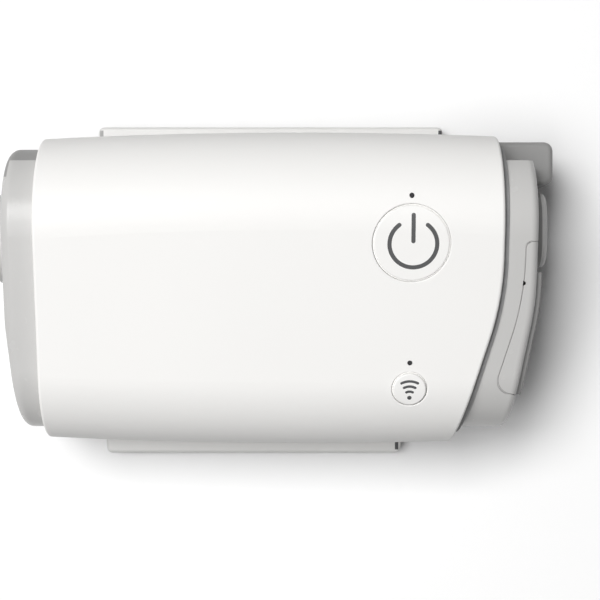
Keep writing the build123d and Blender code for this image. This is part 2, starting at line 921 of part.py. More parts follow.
with BuildPart() as lower_chassis:
    add(core_outer)
    add(air_box_cavity.part, mode=Mode.SUBTRACT)
    with BuildSketch(Plane.XY.offset(floor_z - cap_wall / 2)):
        with Locations(*post_spots):
            Circle(post_r)
    extrude(amount=split_z - floor_z + cap_wall / 2)
    with BuildSketch(Plane.XY.offset(floor_z - cap_wall / 2)):
        with Locations(*base_screw_spots):
            Circle(post_r)
    extrude(amount=base_boss_height + cap_wall / 2)
    add(core_outer, mode=Mode.INTERSECT)
    with BuildSketch(Plane.XY.offset(underside_z + sleeve_wall + rail_seat)):
        with Locations((0, rail_y), (0, -rail_y)):
            Rectangle(2 * overall_length, rail_width)
    extrude(amount=core_gap + cap_wall / 2)
    add(chassis_zone.part, mode=Mode.INTERSECT)
    with BuildSketch(Plane.XY.offset(split_z)):
        Rectangle(2 * overall_length, 2 * overall_width)
    extrude(amount=full_height, mode=Mode.SUBTRACT)
    with Locations(*[(x, y, split_z) for x, y in post_spots]):
        Cylinder(screw_r, 2 * screw_depth, mode=Mode.SUBTRACT)
    with BuildSketch(Plane.XY):
        with Locations(*base_screw_spots):
            Circle(screw_r)
    extrude(amount=base_screw_top_z, mode=Mode.SUBTRACT)
finish(lower_chassis, "lower_chassis")

# ---------------------------------------------------------------- upper chassis
board_under = board_depth + board_thickness
lid_top = board_under + standoff
board_mid_x = board_left_x + board_length / 2
board_rear = (core_half_width - board_rear_margin - power_y) / cos(control_tilt)
board_front = -(core_half_width - board_front_margin + power_y) / cos(control_tilt)
board_width = board_rear - board_front
board_mid = (board_mid_x - power_x, board_rear - board_width / 2)
board_screw_spots = [
    (x - power_x, y)
    for x in (board_left_x + standoff_inset, board_screw_right_x)
    for y in (board_rear - standoff_inset, board_rear - board_width + standoff_inset)
]
lead_mid_y = 0.0


def below_face(depth):
    """Everything lower than a plane at a depth under the control face."""
    with BuildPart() as block:
        with BuildSketch(control_plane.offset(-depth - full_height)):
            Rectangle(3 * overall_length, 3 * overall_width)
        extrude(amount=full_height)
    return block.part


lid_ceiling = below_face(lid_top)
lid_inside = below_face(lid_top + lid_wall)

with BuildPart() as lid_hollow:
    add(air_box_cavity.part)
    add(lid_inside, mode=Mode.INTERSECT)

with BuildPart() as upper_chassis:
    add(core_outer)
    add(lid_ceiling, mode=Mode.INTERSECT)
    add(lid_hollow.part, mode=Mode.SUBTRACT)
    with BuildSketch(Plane.XY.offset(split_z)):
        for x, y in post_spots:
            outer_y = spine_y - cap_wall / 2 if y > 0 else -core_half_width + cap_wall / 2
            with BuildSketch(mode=Mode.PRIVATE) as tab:
                with Locations((x, y), (x, outer_y)):
                    Circle(tab_r)
                make_hull()
            add(tab.sketch)
    extrude(amount=tab_thickness)
    add(core_outer, mode=Mode.INTERSECT)
    add(chassis_zone.part, mode=Mode.INTERSECT)
    with BuildSketch(Plane.XY):
        Rectangle(2 * overall_length, 2 * overall_width)
    extrude(amount=split_z, mode=Mode.SUBTRACT)
    with BuildSketch(control_plane.offset(-lid_top - lid_wall / 2)):
        with Locations(*board_screw_spots):
            Circle(standoff_r)
    extrude(amount=standoff + lid_wall / 2)
    with Locations(*[(x, y, split_z + tab_thickness / 2) for x, y in post_spots]):
        Cylinder(screw_r + screw_clearance, 2 * tab_thickness, mode=Mode.SUBTRACT)
    with BuildSketch(control_plane.offset(-lid_top - 2 * lid_wall)):
        with Locations(*board_screw_spots):
            Circle(screw_r)
    extrude(amount=3 * lid_wall + standoff, mode=Mode.SUBTRACT)
    with BuildSketch(Plane.XY.offset(split_z)):
        with Locations((lead_x + lead_thickness / 2, lead_mid_y)):
            Rectangle(lead_thickness + 2 * lead_clearance, lead_width + 2 * lead_clearance)
    extrude(amount=full_height, mode=Mode.SUBTRACT)
finish(upper_chassis, "upper_chassis")


def driver_recess(spots, plane):
    """Hex driver recesses in screw heads."""
    with BuildPart() as recess:
        with BuildSketch(plane):
            with Locations(*spots):
                RegularPolygon(driver_r, 6)
        extrude(amount=-driver_depth)
    return recess.part


with BuildPart() as chassis_screws:
    with BuildSketch(Plane.XY.offset(screw_top_z)):
        with Locations(*post_spots):
            Circle(screw_head_r)
    extrude(amount=screw_head)
    with BuildSketch(Plane.XY.offset(split_z - screw_depth)):
        with Locations(*post_spots):
            Circle(screw_r)
    extrude(amount=screw_depth + tab_thickness)
    add(
        driver_recess(post_spots, Plane.XY.offset(screw_top_z + screw_head)),
        mode=Mode.SUBTRACT,
    )
finish(chassis_screws, "chassis_screws")

# ---------------------------------------------------------------- blower casing
blower_spot = (blower_x, blower_y)
scroll_floor_z = scroll_low_z + scroll_wall
scroll_roof_z = scroll_high_z - scroll_wall
cup_floor_z = cup_low_z + cup_wall


def scroll_outline(z, grow):
    """Spiral of four tangent quarter arcs that widens towards the outlet."""
    step = scroll_growth
    centres = ((0, 0), (step, 0), (step, step), (0, step))
    with BuildSketch(Plane.XY.offset(z)) as outline:
        with BuildLine():
            for quarter, (dx, dy) in enumerate(centres):
                radius = scroll_r + quarter * step + grow
                centre = (blower_x + dx, blower_y + dy)
                CenterArc(centre, radius, 90 * (quarter + 1), 90)
            Line(
                (blower_x, blower_y + scroll_r + grow),
                (blower_x, blower_y + scroll_r + 4 * step + grow),
            )
        make_face()
    return outline.sketch


def outlet_tube(radius, length):
    """Cylinder along the outlet axis, leaving the scroll towards -X."""
    tube_x = blower_x - tube_start
    with BuildPart() as tube:
        with BuildSketch(Plane.YZ.offset(tube_x)):
            with Locations((outlet_y, outlet_z)):
                Circle(radius)
        extrude(amount=length, dir=(-1, 0, 0))
    return tube.part


def mount_spot(angle):
    """Centre of a blower mount just outside the scroll."""
    turned = (angle - 90) % 360 / 90
    reach = scroll_r + turned * scroll_growth + scroll_wall + mount_r + mount_gap
    return (
        blower_x + reach * cos(radians(angle)),
        blower_y + reach * sin(radians(angle)),
    )


mount_spots = [mount_spot(angle) for angle in mount_angles]
tube_length = blower_x - tube_start - tube_mouth_x

with BuildPart() as scroll_cavity:
    add(scroll_outline(scroll_floor_z, 0))
    extrude(amount=scroll_roof_z - scroll_floor_z)
    add(outlet_tube(port_bore_r, tube_length))

with BuildPart() as scroll_shell:
    add(scroll_outline(scroll_low_z, scroll_wall))
    extrude(amount=scroll_high_z - scroll_low_z)
    add(outlet_tube(tube_r, tube_length))
    with BuildSketch(Plane.XY.offset(scroll_low_z)):
        for x, y in mount_spots:
            toward_x = x + (blower_x - x) * 2 * lug_r / scroll_r
            toward_y = y + (blower_y - y) * 2 * lug_r / scroll_r
            with BuildSketch(mode=Mode.PRIVATE) as lug:
                with Locations((x, y), (toward_x, toward_y)):
                    Circle(lug_r)
                make_hull()
            add(lug.sketch)
    extrude(amount=lug_thickness)
    add(scroll_cavity.part, mode=Mode.SUBTRACT)

with BuildPart() as blower_upper_volute:
    add(scroll_shell.part)
    with BuildSketch(Plane.XY.offset(outlet_z)):
        Rectangle(2 * overall_length, 2 * overall_width)
    extrude(amount=-full_height, mode=Mode.SUBTRACT)
    with BuildSketch(Plane.XY.offset(outlet_z)):
        with Locations(blower_spot):
            Circle(eye_r)
    extrude(amount=full_height, mode=Mode.SUBTRACT)
    eye_rim = blower_upper_volute.edges().filter_by(
        lambda edge: edge.geom_type == GeomType.CIRCLE
        and abs(edge.radius - eye_r) < 0.01
        and abs(edge.position_at(0.5).Z - scroll_high_z) < 0.01
    )
    fillet(eye_rim, scroll_wall / 2)
finish(blower_upper_volute, "blower_upper_volute")

with BuildPart() as blower_lower_volute:
    add(scroll_shell.part)
    with BuildSketch(Plane.XY.offset(outlet_z)):
        Rectangle(2 * overall_length, 2 * overall_width)
    extrude(amount=full_height, mode=Mode.SUBTRACT)
    with BuildSketch(Plane.XY.offset(cup_low_z)):
        with Locations(blower_spot):
            Circle(cup_r)
    extrude(amount=scroll_low_z - cup_low_z)
    with BuildSketch(Plane.XY.offset(cup_floor_z)):
        with Locations(blower_spot):
            Circle(cup_r - cup_wall)
            Circle(bearing_r + cup_wall, mode=Mode.SUBTRACT)
    extrude(amount=scroll_low_z - cup_floor_z, mode=Mode.SUBTRACT)
    with BuildSketch(Plane.XY.offset(cup_floor_z + bearing_width)):
        with Locations(blower_spot):
            Circle(bearing_r + cup_wall)
    extrude(amount=scroll_low_z - cup_floor_z - bearing_width, mode=Mode.SUBTRACT)
    with BuildSketch(Plane.XY.offset(cup_floor_z)):
        with Locations(blower_spot):
            Circle(bearing_r)
    extrude(amount=full_height, mode=Mode.SUBTRACT)
    with BuildSketch(Plane.XY.offset(scroll_low_z)):
        with Locations(*mount_spots):
            Circle(mount_pin_r)
    extrude(amount=lug_thickness, mode=Mode.SUBTRACT)
finish(blower_lower_volute, "blower_lower_volute")

with BuildPart() as blower_mounts:
    with BuildSketch(Plane.XY.offset(core_floor_z)):
        with Locations(*mount_spots):
            Circle(mount_r)
    extrude(amount=scroll_low_z - core_floor_z)
    add(air_box_cavity.part, mode=Mode.INTERSECT)
    with BuildSketch(Plane.XY.offset(scroll_low_z)):
        with Locations(*mount_spots):
            Circle(mount_pin_r)
    extrude(amount=lug_thickness)
    with BuildSketch(Plane.XY.offset(scroll_low_z + lug_thickness)):
        with Locations(*mount_spots):
            Circle(mount_r)
    extrude(amount=mount_cap)
finish(blower_mounts, "blower_mounts")


# ---------------------------------------------------------------- motor
def blower_ring(z, outer_r, inner_r, height):
    """Ring on the blower's axis."""
    with BuildPart() as ring:
        with BuildSketch(Plane.XY.offset(z)):
            with Locations(blower_spot):
                Circle(outer_r)
                if inner_r > 0:
                    Circle(inner_r, mode=Mode.SUBTRACT)
        extrude(amount=height)
    return ring.part


upper_bearing_z = scroll_floor_z + motor_gap - bearing_width
rotor_z = cup_floor_z + bearing_width + motor_gap
rotor_height = upper_bearing_z - motor_gap - rotor_z
impeller_z = scroll_floor_z + impeller_gap

with BuildPart() as motor_bearings:
    add(blower_ring(cup_floor_z, bearing_r, shaft_r + shaft_fit, bearing_width))
    add(blower_ring(upper_bearing_z, bearing_r, shaft_r + shaft_fit, bearing_width))
finish(motor_bearings, "motor_bearings")

with BuildPart() as motor_stator:
    add(
        blower_ring(
            cup_floor_z,
            stator_r,
            rotor_r + stator_bore_gap,
            scroll_low_z - cup_floor_z - motor_gap,
        )
    )
finish(motor_stator, "motor_stator")

with BuildPart() as motor_rotor:
    add(blower_ring(rotor_z, rotor_r, shaft_r, rotor_height))
finish(motor_rotor, "motor_rotor")

with BuildPart() as motor_shaft:
    add(blower_ring(cup_floor_z + shaft_fit, shaft_r, 0, impeller_z + blade_height - cup_floor_z))
finish(motor_shaft, "motor_shaft")

with BuildPart() as impeller:
    with BuildSketch(Plane.XZ.offset(-blower_y)):
        with BuildLine():
            Polyline(
                (blower_x + shaft_r, impeller_z),
                (blower_x + impeller_r, impeller_z),
                (blower_x + impeller_r, impeller_z + impeller_plate),
                (blower_x + 2 * hub_r, impeller_z + impeller_plate),
            )
            TangentArc(
                (blower_x + 2 * hub_r, impeller_z + impeller_plate),
                (blower_x + hub_r, impeller_z + impeller_plate + hub_r),
                tangent=(-1, 0),
            )
            Polyline(
                (blower_x + hub_r, impeller_z + impeller_plate + hub_r),
                (blower_x + hub_r, impeller_z + blade_height),
                (blower_x + shaft_r, impeller_z + blade_height),
                (blower_x + shaft_r, impeller_z),
            )
        make_face()
    revolve(axis=Axis((blower_x, blower_y, 0), (0, 0, 1)))
    with BuildSketch(Plane.XY.offset(impeller_z + impeller_plate / 2)):
        with BuildSketch(mode=Mode.PRIVATE) as blade:
            with BuildLine():
                lean = radians(blade_lean)
                tip_r = impeller_r - blade_thickness
                RadiusArc(
                    (hub_r, 0),
                    (tip_r * cos(lean), -tip_r * sin(lean)),
                    impeller_r,
                )
            trace(line_width=blade_thickness)
        with Locations(blower_spot):
            with PolarLocations(0, blade_count):
                add(blade.sketch)
    extrude(amount=blade_height - impeller_plate / 2)
    add(blower_ring(impeller_z, shaft_r, 0, full_height), mode=Mode.SUBTRACT)
finish(impeller, "impeller")

# ---------------------------------------------------------------- foam, sensor and motor lead
with BuildPart() as muffler_foam:
    with BuildSketch(Plane.XY.offset(floor_z)):
        with Locations((foam_left_x + foam_length / 2, 0)):
            RectangleRounded(foam_length, foam_width, foam_corner_r)
    extrude(amount=foam_height)
finish(muffler_foam, "muffler_foam")

tube_axis_form = outlet_tube(tube_r, overall_length)

with BuildPart() as flow_sensor:
    with BuildSketch(Plane.XY.offset(outlet_z + tube_r - sensor_saddle)):
        with Locations((sensor_x, outlet_y)):
            Rectangle(sensor_length, sensor_width)
    extrude(amount=sensor_height + sensor_saddle)
    add(tube_axis_form, mode=Mode.SUBTRACT)
finish(flow_sensor, "flow_sensor")

board_floor = below_face(board_under)

with BuildPart() as motor_lead:
    with BuildSketch(Plane.XY.offset(lead_z)):
        with BuildLine():
            Polyline(
                (blower_x, lead_mid_y - lead_width / 2),
                (lead_x + lead_thickness, lead_mid_y - lead_width / 2),
                (lead_x + lead_thickness, lead_mid_y + lead_width / 2),
                (blower_x, lead_mid_y + lead_width / 2),
                close=True,
            )
        make_face()
    extrude(amount=lead_thickness)
    with BuildSketch(Plane.XY.offset(lead_z)):
        with Locations((lead_x + lead_thickness / 2, lead_mid_y)):
            Rectangle(lead_thickness, lead_width)
    extrude(amount=overall_height)
    add(board_floor, mode=Mode.INTERSECT)
    add(blower_ring(0, cup_r, 0, full_height), mode=Mode.SUBTRACT)
finish(motor_lead, "motor_lead")

# ---------------------------------------------------------------- filter tray and filter
tray_face = -filter_set_back
tray_back = tray_face - filter_thickness - tray_wall
tray_width = filter_width + 2 * (filter_clearance + tray_wall)
tray_top = filter_rise + filter_height + filter_clearance + tray_wall
tray_mid_z = (tray_top - hinge_rise) / 2
filter_mid_z = filter_rise + filter_height / 2
tray_pitch = (filter_width - tray_wall) / (tray_bars + 1)
lug_start = hinge_barrel_length / 2 + hinge_end_gap

with BuildPart() as filter_tray:
    with BuildSketch(hinge_plane.offset(tray_back)):
        with Locations((slot_mid_u, tray_mid_z)):
            Rectangle(tray_width, tray_top + hinge_rise)
    extrude(amount=tray_face - tray_back)
    with BuildSketch(hinge_plane.offset(tray_back + tray_wall)):
        with Locations((slot_mid_u, filter_mid_z)):
            Rectangle(filter_width + 2 * filter_clearance, filter_height + 2 * filter_clearance)
    extrude(amount=filter_thickness + cap_wall, mode=Mode.SUBTRACT)
    with BuildSketch(hinge_plane.offset(tray_back)):
        with Locations((slot_mid_u, filter_mid_z)):
            with GridLocations(tray_pitch, filter_height, tray_bars + 1, 1):
                Rectangle(tray_pitch - tray_bar, filter_height - tray_wall)
    extrude(amount=2 * tray_wall, mode=Mode.SUBTRACT)
    with BuildSketch(hinge_end_plane.offset(-lug_start)):
        Circle(hinge_swing)
    extrude(amount=2 * lug_start, mode=Mode.SUBTRACT)
    for start in (-lug_start - hinge_lug, lug_start):
        with BuildSketch(hinge_end_plane.offset(start)):
            Circle(hinge_boss_r)
            with Locations((tray_face - tray_wall / 2, (hinge_rise - hinge_boss_r) / 2)):
                Rectangle(-2 * tray_face + tray_wall, hinge_rise + hinge_boss_r)
        extrude(amount=hinge_lug)
    with BuildSketch(hinge_end_plane.offset(-pin_length)):
        Circle(hinge_pin_r)
    extrude(amount=2 * pin_length, mode=Mode.SUBTRACT)
finish(filter_tray, "filter_tray")

with BuildPart() as air_filter:
    with BuildSketch(hinge_plane.offset(tray_back + tray_wall)):
        with Locations((slot_mid_u, filter_mid_z)):
            Rectangle(filter_width, filter_height)
    extrude(amount=filter_thickness)
finish(air_filter, "air_filter")

# ---------------------------------------------------------------- buttons and switches
plunger_top = board_depth - switch_height - plunger_reach
plunger_hold = switch_height - switch_floor - button_travel - travel_spare
flange_form = barrel_form(sleeve_wall + flange_gap)
press_axis = Axis(control_plane.origin, control_plane.z_dir)


def button(spot, hole_r, crown_form):
    """Button with a flange that holds it in the sleeve and a stem over its switch."""
    with BuildPart() as cap:
        with BuildSketch(control_plane.offset(-button_flange_depth)):
            with Locations(spot):
                Circle(hole_r - button_clearance)
        extrude(amount=2 * button_flange_depth)
        add(crown_form, mode=Mode.INTERSECT)
        fillet(cap.faces().sort_by(press_axis)[-1].edges(), button_edge_r)
    with BuildPart() as flange:
        with BuildSketch(control_plane.offset(-button_flange_depth)):
            with Locations(spot):
                Circle(hole_r + button_flange)
        extrude(amount=button_flange_depth)
        add(flange_form, mode=Mode.INTERSECT)
    with BuildPart() as whole:
        add(cap.part)
        add(flange.part)
        with BuildSketch(control_plane.offset(-plunger_top)):
            with Locations(spot):
                Circle(button_stem_r)
        extrude(amount=plunger_top - button_flange_depth)
    return whole.part


with BuildPart() as power_button:
    add(button(power_spot, power_hole_r, barrel_form(button_sink)))
finish(power_button, "power_button")

with BuildPart() as pairing_button:
    add(button(pairing_spot, pairing_hole_r, barrel_form(-pairing_proud)))
finish(pairing_button, "pairing_button")


def switch_case(spot):
    """Switch body on the board with a hole for its plunger."""
    with BuildPart() as case:
        with BuildSketch(control_plane.offset(-board_depth)):
            with Locations(spot):
                Rectangle(switch_size, switch_size)
        extrude(amount=switch_height)
        with BuildSketch(control_plane.offset(-board_depth + switch_floor)):
            with Locations(spot):
                Circle(plunger_r + plunger_clearance)
        extrude(amount=switch_height, mode=Mode.SUBTRACT)
    return case.part


def switch_plunger(spot):
    """Plunger standing under a button's stem."""
    with BuildPart() as plunger:
        with BuildSketch(control_plane.offset(-plunger_top - plunger_reach - plunger_hold)):
            with Locations(spot):
                Circle(plunger_r)
        extrude(amount=plunger_reach + plunger_hold)
    return plunger.part


with BuildPart() as power_switch:
    add(switch_case(power_spot))
finish(power_switch, "power_switch")

with BuildPart() as pairing_switch:
    add(switch_case(pairing_spot))
finish(pairing_switch, "pairing_switch")

with BuildPart() as power_switch_plunger:
    add(switch_plunger(power_spot))
finish(power_switch_plunger, "power_switch_plunger")

with BuildPart() as pairing_switch_plunger:
    add(switch_plunger(pairing_spot))
finish(pairing_switch_plunger, "pairing_switch_plunger")


def light_guide(spot, face_form):
    """Clear rod from the board to the face of the sleeve."""
    with BuildPart() as rod:
        with BuildSketch(control_plane.offset(-board_depth)):
            with Locations(spot):
                Circle(light_r)
        extrude(amount=2 * board_depth)
        add(face_form, mode=Mode.INTERSECT)
        with BuildSketch(control_plane.offset(-board_depth)):
            with Locations(spot):
                Circle(light_foot_r)
        extrude(amount=light_foot)
    return rod.part


light_face_form = barrel_form(light_clearance)

with BuildPart() as power_light_guide:
    add(light_guide(power_light_spot, light_face_form))
finish(power_light_guide, "power_light_guide")

with BuildPart() as pairing_light_guide:
    add(light_guide(pairing_light_spot, light_face_form))
finish(pairing_light_guide, "pairing_light_guide")

# ---------------------------------------------------------------- control board
with BuildPart() as control_board:
    with BuildSketch(control_plane.offset(-board_under)):
        with Locations(board_mid):
            RectangleRounded(board_length, board_width, board_corner_r)
        with Locations(*board_screw_spots):
            Circle(screw_r, mode=Mode.SUBTRACT)
    extrude(amount=board_thickness)
finish(control_board, "control_board")

board_screw_depth = board_under + standoff + board_screw_grip
screw_crown = control_plane.offset(-board_depth + screw_head)

with BuildPart() as board_screws:
    with BuildSketch(control_plane.offset(-board_depth)):
        with Locations(*board_screw_spots):
            Circle(screw_head_r)
    extrude(amount=screw_head)
    with BuildSketch(control_plane.offset(-board_screw_depth)):
        with Locations(*board_screw_spots):
            Circle(screw_r)
    extrude(amount=board_screw_depth - board_depth)
    add(driver_recess(board_screw_spots, screw_crown), mode=Mode.SUBTRACT)
finish(board_screws, "board_screws")

with BuildPart() as radio_module:
    with BuildSketch(control_plane.offset(-board_depth)):
        with Locations((module_x - power_x, module_y)):
            Rectangle(module_length, module_width)
    extrude(amount=module_height)
finish(radio_module, "radio_module")

with BuildPart() as board_parts:
    for x, y, length, width, height in board_layout:
        with BuildSketch(control_plane.offset(-board_depth)):
            with Locations((x - power_x, y)):
                Rectangle(length, width)
        extrude(amount=height)
finish(board_parts, "board_parts")

# ---------------------------------------------------------------- cradle, stops, feet and screws
cradle_top_z = underside_z + cradle_rim_height
foot_spots = [(x, y) for x in (foot_left_x, foot_right_x) for y in (-foot_y, foot_y)]
cradle_half = overall_width / 2
body_bed = Pos(0, 0, cradle_clearance) * barrel_form(-cradle_clearance)

with BuildPart() as cradle_blank:
    with BuildSketch(Plane.XY.offset(foot_stand)) as cradle_plan:
        with BuildLine():
            Polyline(
                (cradle_rear_left_x, cradle_half),
                (cradle_rear_right_x, cradle_half),
                (cradle_front_right_x, -cradle_half),
                (cradle_front_left_x, -cradle_half),
                close=True,
            )
        make_face()
        fillet(cradle_plan.vertices(), cradle_corner_r)
    extrude(amount=cradle_top_z - foot_stand)
    fillet(cradle_blank.faces().sort_by(Axis.Z)[-1].edges(), cradle_rim_edge_r)
    add(body_bed, mode=Mode.SUBTRACT)

stop_y = cradle_half - stop_width / 2 - cradle_rim_edge_r


def stop_slot(x, y):
    """Upright slot at an end of the cradle rim."""
    with BuildPart() as slot:
        with BuildSketch(Plane.XY.offset(underside_z)):
            with Locations((x, y)):
                Rectangle(stop_length, stop_width)
        extrude(amount=cradle_top_z - underside_z + cradle_rim_edge_r)
    return slot.part


rear_left_slot = stop_slot(cradle_rear_left_x + stop_length, stop_y)
rear_right_slot = stop_slot(cradle_rear_right_x - stop_length, stop_y)
front_right_slot = stop_slot(cradle_front_right_x - stop_length, -stop_y)

with BuildPart() as cradle_stops:
    add(rear_left_slot)
    add(rear_right_slot)
    add(front_right_slot)
    add(cradle_blank.part, mode=Mode.INTERSECT)
finish(cradle_stops, "cradle_stops")

with BuildPart() as base_cradle:
    add(cradle_blank.part)
    add(cradle_stops.part, mode=Mode.SUBTRACT)
    with BuildSketch(Plane.XY.offset(foot_stand)):
        with Locations(*foot_spots):
            Circle(foot_r)
    extrude(amount=foot_pocket, mode=Mode.SUBTRACT)
    with BuildSketch(Plane.XY.offset(foot_stand)):
        with Locations(*base_screw_spots):
            Circle(screw_head_r + screw_clearance)
    extrude(amount=screw_head, mode=Mode.SUBTRACT)
    with BuildSketch(Plane.XY.offset(foot_stand)):
        with Locations(*base_screw_spots):
            Circle(screw_r + screw_clearance)
    extrude(amount=base_thickness, mode=Mode.SUBTRACT)
finish(base_cradle, "base_cradle")

with BuildPart() as base_feet:
    with BuildSketch(Plane.XY):
        with Locations(*foot_spots):
            Circle(foot_r)
    extrude(amount=foot_stand + foot_pocket)
finish(base_feet, "base_feet")

head_face = Plane(origin=(0, 0, foot_stand), x_dir=(1, 0, 0), z_dir=(0, 0, -1))
head_spots = [(x, -y) for x, y in base_screw_spots]

with BuildPart() as base_screws:
    with BuildSketch(Plane.XY.offset(foot_stand)):
        with Locations(*base_screw_spots):
            Circle(screw_head_r)
    extrude(amount=screw_head)
    with BuildSketch(Plane.XY.offset(foot_stand)):
        with Locations(*base_screw_spots):
            Circle(screw_r)
    extrude(amount=base_screw_top_z - foot_stand)
    add(driver_recess(head_spots, head_face), mode=Mode.SUBTRACT)
finish(base_screws, "base_screws")
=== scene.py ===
import json
from math import cos, pi, radians, sin

import bmesh
import bpy
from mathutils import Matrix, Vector
from mathutils.bvhtree import BVHTree


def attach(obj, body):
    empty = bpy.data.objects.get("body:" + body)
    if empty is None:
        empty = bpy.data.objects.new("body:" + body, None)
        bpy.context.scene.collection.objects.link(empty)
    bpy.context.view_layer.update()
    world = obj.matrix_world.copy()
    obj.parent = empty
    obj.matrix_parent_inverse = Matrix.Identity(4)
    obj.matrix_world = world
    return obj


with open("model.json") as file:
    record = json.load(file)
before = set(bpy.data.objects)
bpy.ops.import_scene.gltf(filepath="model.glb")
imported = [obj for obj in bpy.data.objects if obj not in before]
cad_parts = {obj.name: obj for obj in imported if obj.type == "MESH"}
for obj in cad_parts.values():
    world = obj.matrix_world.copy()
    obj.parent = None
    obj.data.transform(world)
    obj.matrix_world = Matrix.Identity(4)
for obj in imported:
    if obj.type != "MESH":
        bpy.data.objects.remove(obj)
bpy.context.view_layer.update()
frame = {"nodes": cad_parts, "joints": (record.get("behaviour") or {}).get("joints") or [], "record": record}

# Lengths are in metres, unless a comment says mm.
MM = 0.001
nodes = frame["nodes"]
scene = bpy.context.scene
scene.view_settings.view_transform = "Standard"


def joint_axis(name):
    """Unit vector along a joint's axis."""
    joint = next(joint for joint in frame["joints"] if joint["name"] == name)
    return Vector(joint["axis"]).normalized()


# ---------------------------------------------------------------- camera, looking straight down
CAMERA_HEIGHT = 0.400
CAMERA_X = 0.0061
CAMERA_Y = -0.00257
LENS = 91.8
SENSOR_WIDTH = 36.0
CLIP_START = 0.01

camera_data = bpy.data.cameras.new("photo_camera")
camera_data.lens = LENS
camera_data.sensor_width = SENSOR_WIDTH
camera_data.clip_start = CLIP_START
camera = bpy.data.objects.new("photo_camera", camera_data)
camera.location = (CAMERA_X, CAMERA_Y, CAMERA_HEIGHT)
scene.collection.objects.link(camera)
scene.camera = camera


# ---------------------------------------------------------------- materials
def new_material(name, colour, roughness, metallic=0.0, specular=0.5):
    """Principled material with its even values on the shader's own sockets."""
    material = bpy.data.materials.new(name)
    material.use_nodes = True
    shader = material.node_tree.nodes["Principled BSDF"]
    shader.inputs["Base Color"].default_value = (*colour, 1.0)
    shader.inputs["Roughness"].default_value = roughness
    shader.inputs["Metallic"].default_value = metallic
    shader.inputs["Specular IOR Level"].default_value = specular
    return material, shader


def object_coordinates(tree):
    return tree.nodes.new("ShaderNodeTexCoord").outputs["Object"]


def add_noise(tree, vector, scale, detail=3.0):
    noise = tree.nodes.new("ShaderNodeTexNoise")
    noise.inputs["Scale"].default_value = scale
    noise.inputs["Detail"].default_value = detail
    tree.links.new(vector, noise.inputs["Vector"])
    return noise.outputs["Fac"]


def add_range(tree, value, low, high):
    """Value from 0 to 1 spread between low and high."""
    spread = tree.nodes.new("ShaderNodeMapRange")
    spread.inputs["To Min"].default_value = low
    spread.inputs["To Max"].default_value = high
    tree.links.new(value, spread.inputs["Value"])
    return spread.outputs["Result"]


def add_bump(tree, shader, height, strength, distance):
    bump = tree.nodes.new("ShaderNodeBump")
    bump.inputs["Strength"].default_value = strength
    bump.inputs["Distance"].default_value = distance
    tree.links.new(height, bump.inputs["Height"])
    tree.links.new(bump.outputs["Normal"], shader.inputs["Normal"])


def mix_colours(tree, factor, first, second):
    """The first colour where the factor is 0, the second where it is 1."""
    mix = tree.nodes.new("ShaderNodeMix")
    mix.data_type = "RGBA"
    mix.inputs["A"].default_value = (*first, 1.0)
    mix.inputs["B"].default_value = (*second, 1.0)
    tree.links.new(factor, mix.inputs["Factor"])
    return mix.outputs["Result"]


def shade(colour, factor):
    return tuple(channel * factor for channel in colour)


# Noise scales are per metre, from broad tone drift to the finest grain.
DRIFT_SCALE = 30.0
GLOSS_SCALE = 220.0
GLOSS_SPREAD = 0.04
GRAIN_SCALE = 9000.0
GRAIN_DETAIL = 2.0
GRAIN_STRENGTH = 0.35
GRAIN_DEPTH = 0.02 * MM


def moulded_plastic(name, colour, roughness, specular=0.5, variation=0.015):
    """Satin injection-moulded plastic: fine spark-eroded grain and faint tone drift."""
    material, shader = new_material(name, colour, roughness, specular=specular)
    tree = material.node_tree
    place = object_coordinates(tree)
    drift = add_noise(tree, place, DRIFT_SCALE)
    tone = mix_colours(tree, drift, shade(colour, 1 - variation), shade(colour, 1 + variation))
    tree.links.new(tone, shader.inputs["Base Color"])
    patches = add_noise(tree, place, GLOSS_SCALE)
    gloss = add_range(tree, patches, roughness - GLOSS_SPREAD, roughness + GLOSS_SPREAD)
    tree.links.new(gloss, shader.inputs["Roughness"])
    grain = add_noise(tree, place, GRAIN_SCALE, GRAIN_DETAIL)
    add_bump(tree, shader, grain, GRAIN_STRENGTH, GRAIN_DEPTH)
    return material


STREAK_SCALE = 800.0
STREAK_SMOOTH = 0.08
STREAK_ROUGH = 0.1
STREAK_STRENGTH = 0.2
STREAK_DEPTH = 0.02 * MM


def plain_metal(name, colour, roughness, scale):
    """Turned or drawn metal with short brushed streaks, finer along the axes of larger scale."""
    material, shader = new_material(name, colour, roughness, metallic=1.0)
    tree = material.node_tree
    stretch = tree.nodes.new("ShaderNodeMapping")
    stretch.inputs["Scale"].default_value = scale
    tree.links.new(object_coordinates(tree), stretch.inputs["Vector"])
    streaks = add_noise(tree, stretch.outputs["Vector"], STREAK_SCALE)
    gloss = add_range(tree, streaks, roughness - STREAK_SMOOTH, roughness + STREAK_ROUGH)
    tree.links.new(gloss, shader.inputs["Roughness"])
    add_bump(tree, shader, streaks, STREAK_STRENGTH, STREAK_DEPTH)
    return material


RUBBER_ROUGHNESS = 0.75
RUBBER_SPECULAR = 0.3
DUST_SCALE = 400.0
DUST_DARK, DUST_PALE = 0.85, 1.25
RUBBER_GRAIN_SCALE = 5000.0
RUBBER_GRAIN_STRENGTH = 0.4
RUBBER_GRAIN_DEPTH = 0.03 * MM


